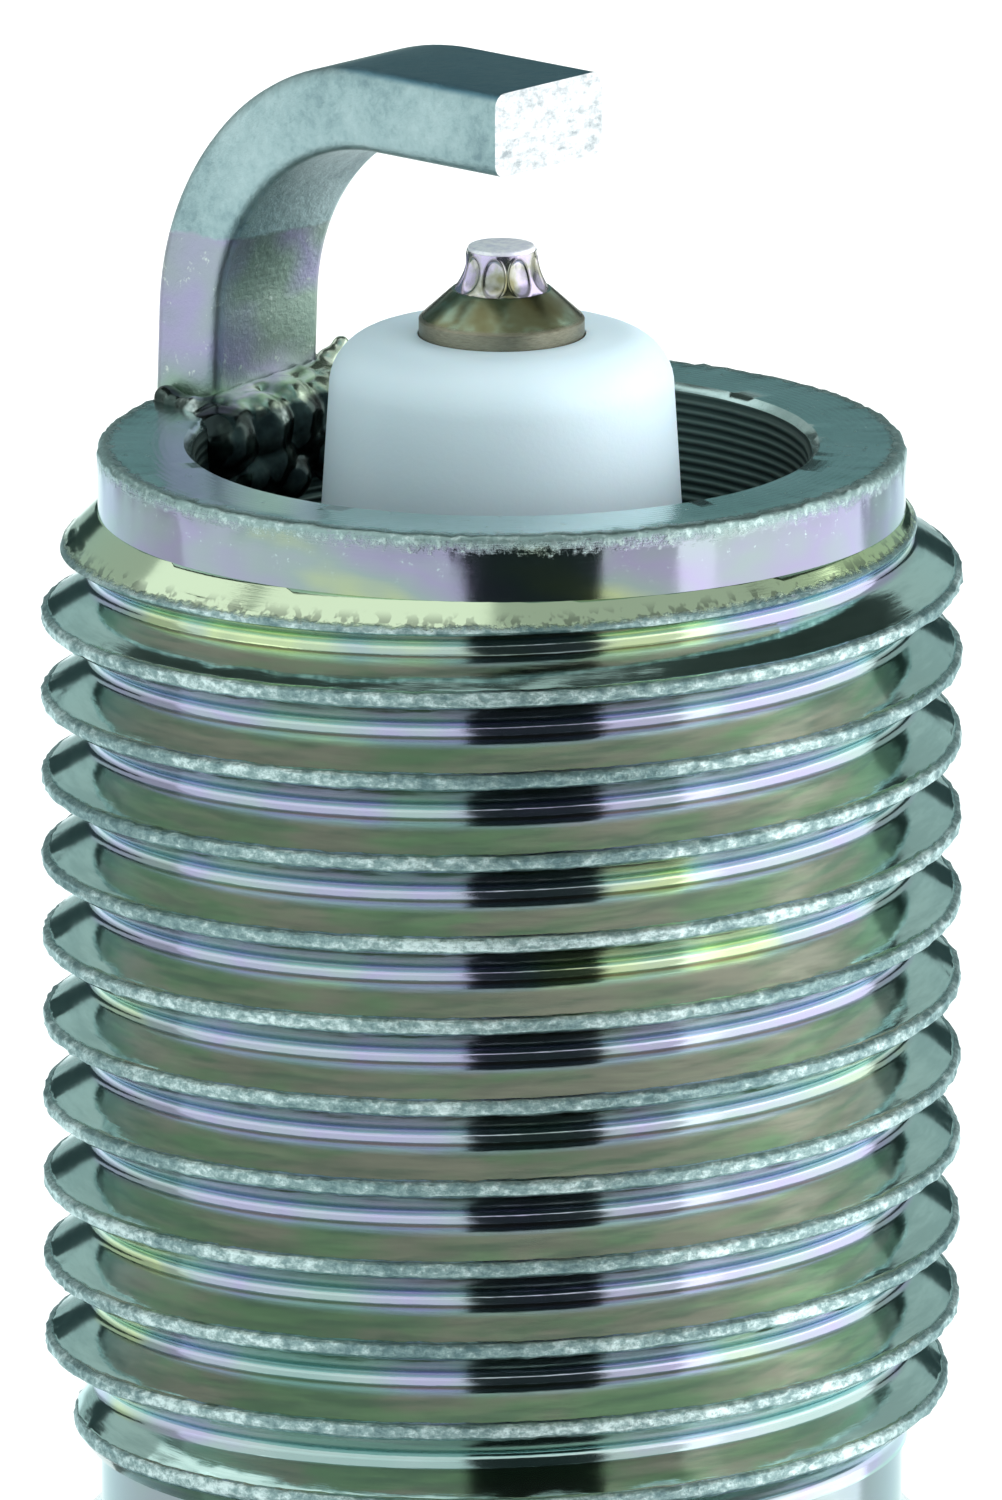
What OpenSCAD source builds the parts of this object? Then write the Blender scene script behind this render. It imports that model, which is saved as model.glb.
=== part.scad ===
// Resistor spark plug, M14 x 1.25, flat seat with a captive folded gasket.
// +Z points out of the firing end, the origin is on the axis at the gasket's sealing face.

/* [Thread] */
// Major diameter of the shell thread
thread_d = 13.9; // [12:0.1:17]
// Thread pitch
thread_pitch = 1.25; // [1:0.25:1.5]
// Reach, from the sealing face to the end of the shell
reach = 19; // [15:0.1:26.5]
// Plain pilot between the thread and the end of the shell
pilot_len = 0.8; // [0.4:0.1:2]
// Angle at which the crest line meets the end plane
thread_angle = 215; // [0:5:355]

/* [Shell] */
// Width across flats of the hexagon
hex_af = 16; // [13.4:0.1:21]
// Height of the hexagon
hex_h = 8.4; // [6:0.1:12]
// Thickness of the seat flange
flange_t = 3.6; // [2.5:0.1:5]
// Wall between the thread root and the bore round the insulator core
shell_wall = 1.43; // [1:0.01:1.9]
// Wall between the thread root and the open bore at the firing end
end_wall = 1.56; // [1:0.01:2]
// Wall of the rim that is crimped over the insulator
crimp_wall = 1.1; // [0.8:0.1:1.4]

/* [Gasket] */
// Thickness of the folded gasket
gasket_t = 2; // [1.4:0.1:2.6]
// Radial width of the folded gasket
gasket_w = 2.65; // [2:0.05:3.5]

/* [Insulator] */
// Diameter of the nose at its tip
nose_d = 5.2; // [4.2:0.1:6.2]
// How far the nose stands out of the shell
nose_out = 1.69; // [0.5:0.01:3]
// Length of the nose inside the shell, from the seat cone to the end of the shell
nose_len = 12; // [9:0.1:14]
// Diameter of the collar that the shell holds
collar_d = 11.8; // [11:0.1:12.8]
// Length of the collar
collar_len = 4.6; // [3:0.1:6]
// Diameter of the ribbed barrel
barrel_d = 10.4; // [9:0.1:10.8]
// From the sealing face to the far end of the terminal
head_len = 50.5; // [42:0.1:61]

/* [Electrodes] */
// Diameter of the centre electrode
electrode_d = 2.5; // [2:0.1:3]
// Diameter of the welded firing tip
tip_d = 1.02; // [0.6:0.02:1.3]
// Height of the firing tip's face above the end of the shell
tip_out = 3.05; // [2.8:0.05:4.5]
// Spark gap between the firing tip and the ground electrode
spark_gap = 1.35; // [0.6:0.05:1.6]
// Width of the ground electrode
strap_w = 2.4; // [1.8:0.1:3.2]
// Thickness of the ground electrode
strap_t = 1.28; // [1:0.02:1.6]
// Inner bend radius of the ground electrode
strap_bend = 3; // [2:0.1:3.4]
// How far the ground electrode's end reaches past the axis
strap_past = 0.95; // [0.2:0.05:2]
// Direction of the ground electrode's foot
strap_angle = 138; // [0:1:359]

/* [Terminal] */
// Height of the screw-on terminal nut
nut_h = 7.85; // [6:0.05:10]
// Diameter of the terminal nut's barrel
nut_d = 6.3; // [5.2:0.1:7.5]
// Major diameter of the terminal stud's thread
stud_thread_d = 3.92; // [3.4:0.02:4.2]
// Pitch of the terminal stud's thread
stud_pitch = 0.7; // [0.5:0.1:0.8]

/* [Hidden] */
$fn = 96;

cut = 1;            // how far a cutting body runs past what it cuts
fit = 0.02;         // radial clearance between assembled pieces
loose = 0.2;        // clearance round the insulator inside the shell

// Thread form: 60 degree flanks, ISO depth
depth_per_pitch = 0.61343;
flank_angle = 30;
thread_depth = depth_per_pitch * thread_pitch;
crest_r = thread_d / 2;
root_r = crest_r - thread_depth;

// Shell, from the firing end down
thread_top = reach - pilot_len;
pilot_r = root_r - 0.09;
neck_r = pilot_r;
neck_z = 2.3;
thread_bottom = neck_z + 1.3;
land_r = crest_r - 0.2;
end_bore_r = root_r - end_wall;
core_bore_r = root_r - shell_wall;
edge = 0.18;

// Seat cone inside the shell, at 45 degrees
seat_top = reach - nose_len;
nose_r = nose_d / 2;
nose_root_r = nose_r + 0.7;
shelf_r = nose_root_r + 0.45;
shelf_h = 2;
seat_h = core_bore_r - shelf_r;
packing_t = 0.55;

// Shell head
seat_z = -gasket_t;
gasket_ir = land_r + 0.1;
flange_r = gasket_ir + gasket_w;
flange_bottom = seat_z - flange_t;
flange_edge = 0.4;
groove_h = 1;
hex_top = flange_bottom - groove_h;
hex_bottom = hex_top - hex_h;
collar_r = collar_d / 2;
counter_r = collar_r + loose;
counter_z = -5;
groove_r = counter_r + 1.8;
crimp_r = counter_r + crimp_wall;
crimp_end = hex_bottom - 2.6;
crimp_lip = 0.85;

// Insulator
core_r = core_bore_r - loose;
barrel_r = barrel_d / 2;
nose_top = reach + nose_out;
nose_round = 0.8;
collar_bottom = counter_z - (collar_r - core_r) - collar_len;
shoulder_slope = 0.7;
barrel_top = collar_bottom - (collar_r - barrel_r) / shoulder_slope;
insulator_end = nut_h + 0.65 - head_len;
end_round = 0.9;
rib_pitch = 3.5;
rib_cut_r = 1.5;
rib_depth = 0.6;
rib_first = insulator_end + 3.6;
rib_space = crimp_end - 3 - rib_first;
rib_count = min(5, floor(rib_space / rib_pitch));

// Conductors in the insulator's bore
electrode_r = electrode_d / 2;
small_bore_r = electrode_r + 0.05;
large_bore_r = small_bore_r + 0.7;
bore_step = counter_z + 0.2;
head_r = large_bore_r - 0.15;
head_h = 1.2;
head_z = bore_step - head_h;
stem_r = electrode_r - 0.25;
stem_len = 1.5;
copper_r = 0.6;
copper_top = reach - 1;
plug_r = large_bore_r - fit;
lower_glass_len = 4.5;
resistor_len = 8;
upper_glass_len = 4.5;
resistor_top = head_z - lower_glass_len;
resistor_bottom = resistor_top - resistor_len;
glass_bottom = resistor_bottom - upper_glass_len;
stud_top = resistor_bottom - 2;
stud_r = large_bore_r - 0.25;

// Firing end
tip_r = tip_d / 2;
tip_top = reach + tip_out;
cone_bottom = reach + nose_out + 0.27;
cone_h = 0.42;
cone_top = cone_bottom + cone_h;
cone_top_r = tip_r + 0.24;
tip_socket = 0.7;
weld_h = 0.42;
weld_foot_r = tip_r + 0.2;
weld_head_r = tip_r + 0.05;

// Ground electrode, drawn in its own plane with s pointing from its foot to the axis
strap_under = tip_top + spark_gap;
strap_out_r = strap_bend + strap_t;
strap_s = -pilot_r + 0.07;
bend_s = strap_s + strap_out_r;
bend_z = strap_under - strap_bend;

// Packing between the insulator and the shell
gap_mid_r = (barrel_r + counter_r) / 2;
wire_r = (counter_r - barrel_r) / 2 - fit;
lower_wire_z = barrel_top + (gap_mid_r - barrel_r
    - (wire_r + fit) * sqrt(1 + pow(shoulder_slope, 2))) / shoulder_slope;
upper_wire_z = crimp_end + crimp_lip + wire_r + fit;

// Terminal
stud_flange_r = stud_r + 1.25;
stud_flange_h = 0.6;
stud_flange_z = insulator_end - stud_flange_h;
nut_gap = 0.05;
nut_top = stud_flange_z - nut_gap;
nut_bottom = -head_len;
nut_r = nut_d / 2;
nut_bore_r = stud_thread_d / 2 + 0.09;
nut_bore_end = nut_bottom + 1.2;
stud_end = nut_bore_end + 0.6;
collar_nut_r = nut_r + 0.25;
waist_r = nut_r - 0.7;

// A ring of revolution between two heights
module ring(outer_r, inner_r, bottom, top) {
    difference() {
        translate([0, 0, bottom]) cylinder(r = outer_r, h = top - bottom);
        translate([0, 0, bottom - cut]) cylinder(r = inner_r, h = top - bottom + 2 * cut);
    }
}

module rod(r, bottom, top) {
    translate([0, 0, bottom]) cylinder(r = r, h = top - bottom);
}

module cone(bottom_r, top_r, bottom, top) {
    translate([0, 0, bottom]) cylinder(r1 = bottom_r, r2 = top_r, h = top - bottom);
}

// Points of a round corner in an outline
function arc(x, z, r, from, to, steps = 6) =
    [for (i = [0:steps]) let (a = from + (to - from) * i / steps) [x + r * cos(a), z + r * sin(a)]];

// Right-hand thread on a root cylinder, as one closed body whose ridge fades out at both ends.
// The ridge's centre line passes the height meet_z at the angle meet_angle.
module thread(crest, depth, pitch, bottom, top, meet_z, meet_angle, fade_low, fade_high, steps) {
    root = crest - depth;
    crest_w = pitch / 8;
    base_w = crest_w + 2 * depth * tan(flank_angle);
    margin = 0.05;
    low = bottom + base_w / 2 + margin;
    last = floor((top - bottom - base_w - 2 * margin) / pitch * steps);
    start = meet_angle + 360 * (low - meet_z) / pitch;
    least = 0.02;

    function angle(m) = start + 360 * m / steps;
    function centre(m) = low + pitch * m / steps;
    function ease(x) = x >= 1 ? 1 : sin(90 * x);
    function height(m) = max(least, depth * min(ease(m / fade_low / steps),
        ease((last - m) / fade_high / steps)));
    function at(m, r, z) = [r * cos(angle(m)), r * sin(angle(m)), z];
    function section(m) = let (h = height(m), half = base_w / 2, top_half = half - h * tan(flank_angle))
        [at(m, root, centre(m) - half), at(m, root + h, centre(m) - top_half),
         at(m, root + h, centre(m) + top_half), at(m, root, centre(m) + half)];

    foot = 4 * (last + 1);
    head = foot + steps;
    function lower(i) = foot + i % steps;
    function upper(i) = head + i % steps;

    points = concat(
        [for (m = [0:last], p = section(m)) p],
        [for (i = [0:steps - 1]) at(i, root, bottom)],
        [for (i = [0:steps - 1]) at(i, root, top)]);
    ridge = [for (m = [0:last - 1], k = [0:2])
        [4 * m + k, 4 * m + k + 1, 4 * m + k + 5, 4 * m + k + 4]];
    valley = [for (m = [0:last - steps - 1])
        [4 * m + 3, 4 * (m + steps), 4 * (m + steps + 1), 4 * m + 7]];
    low_skirt = [for (i = [0:steps - 2]) [lower(i), 4 * i, 4 * i + 4, lower(i + 1)]];
    low_end = [[lower(steps - 1), 4 * (steps - 1), 4 * steps, 3, 2, 1, 0, lower(0)]];
    high_skirt = [for (m = [last - steps + 1:last - 1]) [4 * m + 3, upper(m), upper(m + 1), 4 * m + 7]];
    high_end = [[4 * (last - steps) + 7, 4 * (last - steps) + 3, 4 * last, 4 * last + 1,
        4 * last + 2, 4 * last + 3, upper(last), upper(last + 1)]];
    caps = [[for (i = [0:steps - 1]) lower(i)], [for (i = [0:steps - 1]) upper(steps - 1 - i)]];
    polyhedron(points, concat(ridge, valley, low_skirt, low_end, high_skirt, high_end, caps),
        convexity = 10);
}

module hexagon() {
    corner_r = hex_af / 2 / cos(30);
    chamfer = corner_r - hex_af / 2 + 0.25;
    intersection() {
        translate([0, 0, hex_bottom]) linear_extrude(hex_h)
            rotate(30) circle(r = corner_r, $fn = 6);
        rotate_extrude() polygon([
            [0, hex_bottom], [corner_r - chamfer, hex_bottom],
            [corner_r + 0.1, hex_bottom + (chamfer + 0.1) * tan(flank_angle)],
            [corner_r + 0.1, hex_top - (chamfer + 0.1) * tan(flank_angle)],
            [corner_r - chamfer, hex_top], [0, hex_top]]);
    }
}

// Turned outline below the thread: neck, gasket land, seat flange, buckle groove and the rim that
// is rolled over the upper wire ring
module shell_head() {
    rotate_extrude() polygon(concat(
        [[0, thread_bottom], [neck_r, thread_bottom], [neck_r, neck_z],
         [land_r, neck_z - land_r + neck_r], [land_r, seat_z]],
        arc(flange_r - flange_edge, seat_z - flange_edge, flange_edge, 90, 0),
        arc(flange_r - flange_edge, flange_bottom + flange_edge, flange_edge, 0, -90),
        [[groove_r, flange_bottom], [groove_r, hex_top], [crimp_r, hex_top]],
        arc(counter_r, crimp_end + crimp_wall, crimp_wall, 0, -90),
        [[0, crimp_end]]));
}

module pilot() {
    rotate_extrude() polygon([
        [0, thread_top], [pilot_r, thread_top], [pilot_r, reach - edge], [pilot_r - edge, reach],
        [0, reach]]);
}

module shell_bore() {
    rotate_extrude() polygon([
        [0, reach + cut], [end_bore_r + edge + cut, reach + cut], [end_bore_r, reach - edge],
        [end_bore_r, seat_top + shelf_h + end_bore_r - shelf_r], [shelf_r, seat_top + shelf_h],
        [shelf_r, seat_top], [core_bore_r, seat_top - seat_h], [core_bore_r, counter_z],
        [counter_r, counter_z], [counter_r, crimp_end + crimp_lip],
        [barrel_r + loose, crimp_end + crimp_lip], [barrel_r + loose, crimp_end - cut],
        [0, crimp_end - cut]]);
}

module shell() {
    color("#8fa59c") difference() {
        union() {
            thread(crest_r, thread_depth, thread_pitch, thread_bottom, thread_top,
                reach, thread_angle, 1.5, 1.25, 36);
            pilot();
            shell_head();
            hexagon();
        }
        shell_bore();
    }
}

// Bent strap in its own plane, x pointing from its foot to the axis
module strap_profile() {
    translate([strap_s, reach]) square([strap_t, bend_z - reach]);
    intersection() {
        difference() {
            translate([bend_s, bend_z]) circle(r = strap_out_r);
            translate([bend_s, bend_z]) circle(r = strap_bend);
        }
        translate([bend_s - strap_out_r - cut, bend_z]) square(strap_out_r + cut);
    }
    translate([bend_s, strap_under]) square([strap_past - bend_s, strap_t]);
}

module strap_frame() {
    rotate(strap_angle + 180) children();
}

module ground_electrode() {
    color("#9aaab0") strap_frame()
        translate([0, strap_w / 2, 0]) rotate([90, 0, 0]) linear_extrude(strap_w) strap_profile();
}

// Bead of metal squeezed out round the strap's foot, over the end ring and a little into the bore
module ground_weld_flash() {
    bead_r = 0.42;
    half = strap_w / 2;
    inner_s = strap_s + strap_t;
    color("#5d6a66") difference() {
        strap_frame() {
            for (s = [inner_s, strap_s + 0.5], side = [-half, half])
                translate([s, side, reach]) sphere(r = bead_r, $fn = 32);
            translate([inner_s, half, reach]) rotate([90, 0, 0]) cylinder(r = bead_r, h = strap_w);
            for (side = [-half, half])
                translate([strap_s + 0.5, side, reach]) rotate([0, 90, 0])
                    cylinder(r = bead_r, h = strap_t - 0.5);
        }
        strap_frame() translate([strap_s - cut, -half, reach - cut])
            cube([strap_t + cut, strap_w, 2 * cut]);
        rotate_extrude() polygon([[end_bore_r, reach - 2], [end_bore_r, reach - edge],
            [end_bore_r + edge, reach], [crest_r + 1, reach], [crest_r + 1, reach - 2]]);
    }
}

module insulator_profile() {
    polygon(concat(
        [[0, nose_top]],
        arc(nose_r - nose_round, nose_top - nose_round, nose_round, 90, 0),
        [[nose_r + 0.12, reach - cut], [nose_root_r, seat_top + cut],
         [nose_root_r, seat_top - packing_t + shelf_r - nose_root_r],
         [core_r, seat_top - packing_t + shelf_r - core_r], [core_r, counter_z],
         [collar_r, counter_z - collar_r + core_r], [collar_r, collar_bottom],
         [barrel_r, barrel_top]],
        arc(barrel_r - end_round, insulator_end + end_round, end_round, 0, -90),
        [[0, insulator_end]]));
}

module insulator() {
    color("white") difference() {
        rotate_extrude() difference() {
            insulator_profile();
            for (i = [0:rib_count - 1])
                translate([barrel_r + rib_cut_r - rib_depth, rib_first + i * rib_pitch])
                    circle(r = rib_cut_r);
        }
        rod(small_bore_r, bore_step - cut, nose_top + cut);
        rod(large_bore_r, insulator_end - cut, bore_step);
    }
}

// Nickel jacket with its cone, locating head and tail
module center_electrode() {
    color("#6b6350") difference() {
        union() {
            cone(electrode_r, cone_top_r, cone_bottom, cone_top);
            rod(electrode_r, bore_step, cone_bottom);
            rod(head_r, head_z, bore_step);
            rod(stem_r, head_z - stem_len, head_z);
        }
        rod(copper_r + fit, head_z - stem_len - cut, copper_top);
        rod(tip_r + fit, cone_top - tip_socket, cone_top + cut);
    }
}

module copper_core() {
    color("#b87333") rod(copper_r, head_z - stem_len, copper_top);
}

module firing_tip() {
    color("#d8d8d2") rod(tip_r, cone_top - tip_socket, tip_top);
}

// Laser weld that necks in from the cone to the tip
module tip_weld_ring() {
    color("#8a836f") rotate_extrude() difference() {
        polygon([
            [tip_r + fit / 2, cone_top], [weld_foot_r, cone_top], [weld_head_r, cone_top + weld_h],
            [tip_r + fit / 2, cone_top + weld_h]]);
        translate([weld_foot_r + 0.33, cone_top + weld_h * 0.7]) circle(r = 0.4);
    }
}

// Soft steel washer between the two seat cones
module seat_packing() {
    inner = shelf_r + 0.1;
    outer = core_r - 0.1;
    color("#7d7f80") rotate_extrude() polygon([
        [inner, seat_top + shelf_r - inner - fit], [outer, seat_top + shelf_r - outer - fit],
        [outer, seat_top + shelf_r - outer - packing_t + fit],
        [inner, seat_top + shelf_r - inner - packing_t + fit]]);
}

module wire_ring(z) {
    color("#8c8f91") rotate_extrude() translate([gap_mid_r, z]) circle(r = wire_r, $fn = 32);
}

module lower_wire_ring() {
    wire_ring(lower_wire_z);
}

module upper_wire_ring() {
    wire_ring(upper_wire_z);
}

module talc_ring() {
    color("#e6e3da") ring(counter_r - fit, barrel_r + fit,
        upper_wire_z + wire_r + fit, lower_wire_z - wire_r - fit);
}

module lower_glass_seal() {
    color("#3d5a4f") difference() {
        rod(plug_r, resistor_top, head_z);
        rod(stem_r + fit, head_z - stem_len, head_z + cut);
    }
}

module resistor() {
    color("#3a3a3c") rod(plug_r, resistor_bottom, resistor_top);
}

module upper_glass_seal() {
    color("#3d5a4f") difference() {
        rod(plug_r, glass_bottom, resistor_bottom);
        rod(stud_r + fit, glass_bottom - cut, stud_top);
    }
}

// Stud with grooves that the glass grips, a flange on the insulator's end and a threaded end
module terminal_stud() {
    grip = 0.8;
    thread_start = stud_flange_z - 0.4;
    color("#b9bcc0") union() {
        difference() {
            rod(stud_r, insulator_end, stud_top);
            for (i = [0:2])
                ring(stud_r + cut, stud_r - 0.2, stud_top - (i + 0.6) * grip - 0.3, stud_top - (i + 0.6) * grip);
        }
        rod(stud_flange_r, stud_flange_z, insulator_end);
        rod(stud_thread_d / 2 - depth_per_pitch * stud_pitch - 0.05, thread_start, stud_flange_z);
        thread(stud_thread_d / 2, depth_per_pitch * stud_pitch, stud_pitch, stud_end, thread_start,
            stud_end, 0, 1, 1, 24);
    }
}

// Screw-on terminal: base collar, waist and rounded barrel, with a blind hole
module terminal_nut() {
    waist_top = nut_top - 0.8;
    waist_bottom = waist_top - 2.4;
    round_r = 0.5;
    color("#c3c6c9") difference() {
        rotate_extrude() {
            polygon(concat(
                [[0, nut_top], [collar_nut_r - 0.2, nut_top], [collar_nut_r, nut_top - 0.2],
                 [collar_nut_r, waist_top], [waist_r, waist_top - 0.4], [waist_r, waist_bottom],
                 [nut_r, waist_bottom - 0.4]],
                arc(nut_r - round_r, nut_bottom + round_r, round_r, 0, -90),
                [[0, nut_bottom]]));
        }
        rod(nut_bore_r, nut_bore_end, nut_top + cut);
    }
}

// Sheet folded three deep, with its folds at the rim and at the hole
module gasket() {
    slit = 0.16;
    fold = 0.45;
    round_r = 0.35;
    sheet = (gasket_t - 2 * slit) / 3;
    inner_x = gasket_ir + round_r;
    outer_x = gasket_ir + gasket_w - round_r;
    color("#a9adaf") rotate_extrude() difference() {
        polygon(concat(
            arc(outer_x, -round_r, round_r, 90, 0), arc(outer_x, round_r - gasket_t, round_r, 0, -90),
            arc(inner_x, round_r - gasket_t, round_r, -90, -180), arc(inner_x, -round_r, round_r, 180, 90)));
        translate([gasket_ir - cut, -sheet - slit]) square([gasket_w - fold + cut, slit]);
        translate([gasket_ir + fold, -2 * (sheet + slit)]) square([gasket_w - fold + cut, slit]);
    }
}

shell();
ground_electrode();
ground_weld_flash();
insulator();
center_electrode();
copper_core();
firing_tip();
tip_weld_ring();
seat_packing();
lower_wire_ring();
talc_ring();
upper_wire_ring();
lower_glass_seal();
resistor();
upper_glass_seal();
terminal_stud();
terminal_nut();
gasket();
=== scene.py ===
import math
import random

import bmesh
import bpy
from mathutils import Matrix, Vector, noise


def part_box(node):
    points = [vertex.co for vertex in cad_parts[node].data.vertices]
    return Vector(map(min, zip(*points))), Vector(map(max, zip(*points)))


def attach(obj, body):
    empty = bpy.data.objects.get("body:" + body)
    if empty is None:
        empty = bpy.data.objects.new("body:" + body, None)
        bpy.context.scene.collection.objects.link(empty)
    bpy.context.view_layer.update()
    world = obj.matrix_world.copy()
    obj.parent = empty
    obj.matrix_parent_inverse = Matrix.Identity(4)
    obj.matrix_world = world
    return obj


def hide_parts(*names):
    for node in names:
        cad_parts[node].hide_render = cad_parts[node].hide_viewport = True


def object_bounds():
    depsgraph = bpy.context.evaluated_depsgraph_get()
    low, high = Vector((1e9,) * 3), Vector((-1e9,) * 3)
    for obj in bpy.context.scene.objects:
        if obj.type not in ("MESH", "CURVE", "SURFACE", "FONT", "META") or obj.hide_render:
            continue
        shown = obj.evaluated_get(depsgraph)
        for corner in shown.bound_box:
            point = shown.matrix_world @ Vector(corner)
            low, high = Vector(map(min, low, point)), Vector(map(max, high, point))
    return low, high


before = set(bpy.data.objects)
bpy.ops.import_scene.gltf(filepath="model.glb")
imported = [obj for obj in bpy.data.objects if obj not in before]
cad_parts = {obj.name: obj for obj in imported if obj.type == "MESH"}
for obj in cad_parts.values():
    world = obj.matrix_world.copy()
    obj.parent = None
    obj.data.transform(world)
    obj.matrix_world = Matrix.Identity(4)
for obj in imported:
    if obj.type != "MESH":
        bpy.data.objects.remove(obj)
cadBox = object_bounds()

mm = 0.001
mergeGap = 0.0004 * mm  # a turned outline's points closer than this are one point
seamGap = 0.001 * mm  # the same where one turn of a thread meets the next
seed = 7
random.seed(seed)

# heights along the plug, in millimetres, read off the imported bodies
shellLow, shellHigh = (corner.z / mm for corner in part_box("shell"))
gasketLow, gasketHigh = (corner.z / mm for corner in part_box("gasket"))
ceramicLow, ceramicHigh = (corner.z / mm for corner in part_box("insulator"))
nutLow, nutHigh = (corner.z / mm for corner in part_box("terminal_nut"))
tipLow, tipHigh = (corner.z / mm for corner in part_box("firing_tip"))
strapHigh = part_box("ground_electrode")[1].z / mm
print("frame loaded, shell from", round(shellLow, 2), "to", round(shellHigh, 2))


class Sock:
    # a node socket that takes part in ordinary sums
    def __init__(self, finish, socket):
        self.finish = finish
        self.socket = socket

    def maths(self, operation, first, second=0.0):
        return self.finish.node("ShaderNodeMath", {"operation": operation}, {0: first, 1: second})

    def __add__(self, other):
        return self.maths("ADD", self, other)

    def __sub__(self, other):
        return self.maths("SUBTRACT", self, other)

    def __rsub__(self, other):
        return self.maths("SUBTRACT", other, self)

    def __mul__(self, other):
        return self.maths("MULTIPLY", self, other)

    __radd__ = __add__
    __rmul__ = __mul__

    def power(self, exponent):
        return self.maths("POWER", self, exponent)

    def most(self, other):
        return self.maths("MAXIMUM", self, other)

    def wave(self):
        return self.maths("SINE", self)

    def ramp(self, low, high):
        # 0 below low, 1 above high, smooth between
        return self.finish.node(
            "ShaderNodeMapRange", {"interpolation_type": "SMOOTHSTEP"},
            {"Value": self, "From Min": low, "From Max": high})


class Finish:
    # one Principled material, built up node by node
    def __init__(self, name, **fixed):
        self.material = bpy.data.materials.new(name)
        self.material.use_nodes = True
        self.nodes = self.material.node_tree.nodes
        self.links = self.material.node_tree.links
        self.shader = self.nodes["Principled BSDF"]
        for key, value in fixed.items():
            self.shader.inputs[key.replace("_", " ")].default_value = value
        self.place = self.node("ShaderNodeTexCoord", {}, {}, "Object")

    def node(self, kind, settings, values, out=0):
        made = self.nodes.new(kind)
        for key, value in settings.items():
            if key == "stops":
                ramp = made.color_ramp.elements
                while len(ramp) < len(value):
                    ramp.new(0.5)
                for stop, (position, colour) in zip(ramp, value):
                    stop.position = position
                    stop.color = (*colour, 1)
            else:
                setattr(made, key, value)
        for key, value in values.items():
            if isinstance(value, Sock):
                self.links.new(value.socket, made.inputs[key])
            else:
                made.inputs[key].default_value = value
        return Sock(self, made.outputs[out])

    def split(self):
        made = self.nodes.new("ShaderNodeSeparateXYZ")
        self.links.new(self.place.socket, made.inputs[0])
        return [Sock(self, made.outputs[i]) for i in range(3)]

    def stretch(self, scale):
        return self.node(
            "ShaderNodeVectorMath", {"operation": "MULTIPLY"}, {0: self.place, 1: scale})

    def attribute(self, name):
        return self.node("ShaderNodeAttribute", {"attribute_name": name}, {}, "Fac")

    def grain(self, scale, detail, rough, vector=None):
        return self.node("ShaderNodeTexNoise", {}, {
            "Vector": vector or self.place, "Scale": scale, "Detail": detail, "Roughness": rough})

    def cells(self, scale):
        return self.node("ShaderNodeTexVoronoi", {}, {"Vector": self.place, "Scale": scale})

    def blend(self, amount, first, second):
        # the Mix node's colour sockets are its inputs 6 and 7 and its output 2
        first = first if isinstance(first, Sock) else (*first, 1)
        second = second if isinstance(second, Sock) else (*second, 1)
        return self.node(
            "ShaderNodeMix", {"data_type": "RGBA"}, {0: amount, 6: first, 7: second}, 2)

    def tones(self, amount, stops):
        return self.node("ShaderNodeValToRGB", {"stops": stops}, {0: amount})

    def radius(self):
        # distance from the plug's axis, in metres
        x, y = self.split()[:2]
        return (x * x + y * y).power(0.5)

    def colour(self, value):
        self.feed("Base Color", value)

    def feed(self, name, value):
        self.links.new(value.socket, self.shader.inputs[name])

    def bump(self, height, depth):
        made = self.node("ShaderNodeBump", {}, {"Height": height, "Distance": depth}, "Normal")
        self.feed("Normal", made)


def arc(x, z, r, start, end, steps):
    # points of a round corner, angles in degrees
    return [(x + r * math.cos(math.radians(start + (end - start) * i / steps)),
             z + r * math.sin(math.radians(start + (end - start) * i / steps)))
            for i in range(steps + 1)]


def lathe(bm, outline, steps, closed=True):
    # turns an outline of (radius, height) in millimetres round the axis
    verts = [bm.verts.new((r * mm, 0, z * mm)) for r, z in outline]
    pairs = list(zip(verts, verts[1:]))
    if closed:
        pairs.append((verts[-1], verts[0]))
    edges = [bm.edges.new(pair) for pair in pairs]
    bmesh.ops.spin(bm, geom=verts + edges, cent=(0, 0, 0), axis=(0, 0, 1),
                   angle=math.tau, steps=steps, use_merge=True)
    bmesh.ops.remove_doubles(bm, verts=bm.verts, dist=mergeGap)


def turn(vert, radius):
    # puts a vertex at another distance from the axis
    now = math.hypot(vert.co.x, vert.co.y)
    if now > 1e-9:
        vert.co.x *= radius / now
        vert.co.y *= radius / now


def trim(bm, low, high):
    # cuts off what lies below low and above high, in millimetres
    for height, upward in ((low, -1), (high, 1)):
        bmesh.ops.bisect_plane(
            bm, geom=bm.verts[:] + bm.edges[:] + bm.faces[:], dist=1e-8,
            plane_co=(0, 0, height * mm), plane_no=(0, 0, upward), clear_outer=True)


def newMesh(bm, name):
    mesh = bpy.data.meshes.new(name)
    bm.to_mesh(mesh)
    bm.free()
    return mesh


def newObject(name, data):
    made = bpy.data.objects.new(name, data)
    bpy.context.scene.collection.objects.link(made)
    return made


def piece(bm, name, body, nodes, materials, sharp=35):
    # sharp is the angle in degrees from which an edge is drawn hard
    bmesh.ops.recalc_face_normals(bm, faces=bm.faces)
    mesh = newMesh(bm, name)
    mesh.shade_smooth()
    mesh.set_sharp_from_angle(angle=math.radians(sharp))
    made = newObject(name, mesh)
    for material in materials:
        mesh.materials.append(material)
    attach(made, body)
    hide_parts(*nodes)
    return made


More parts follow.
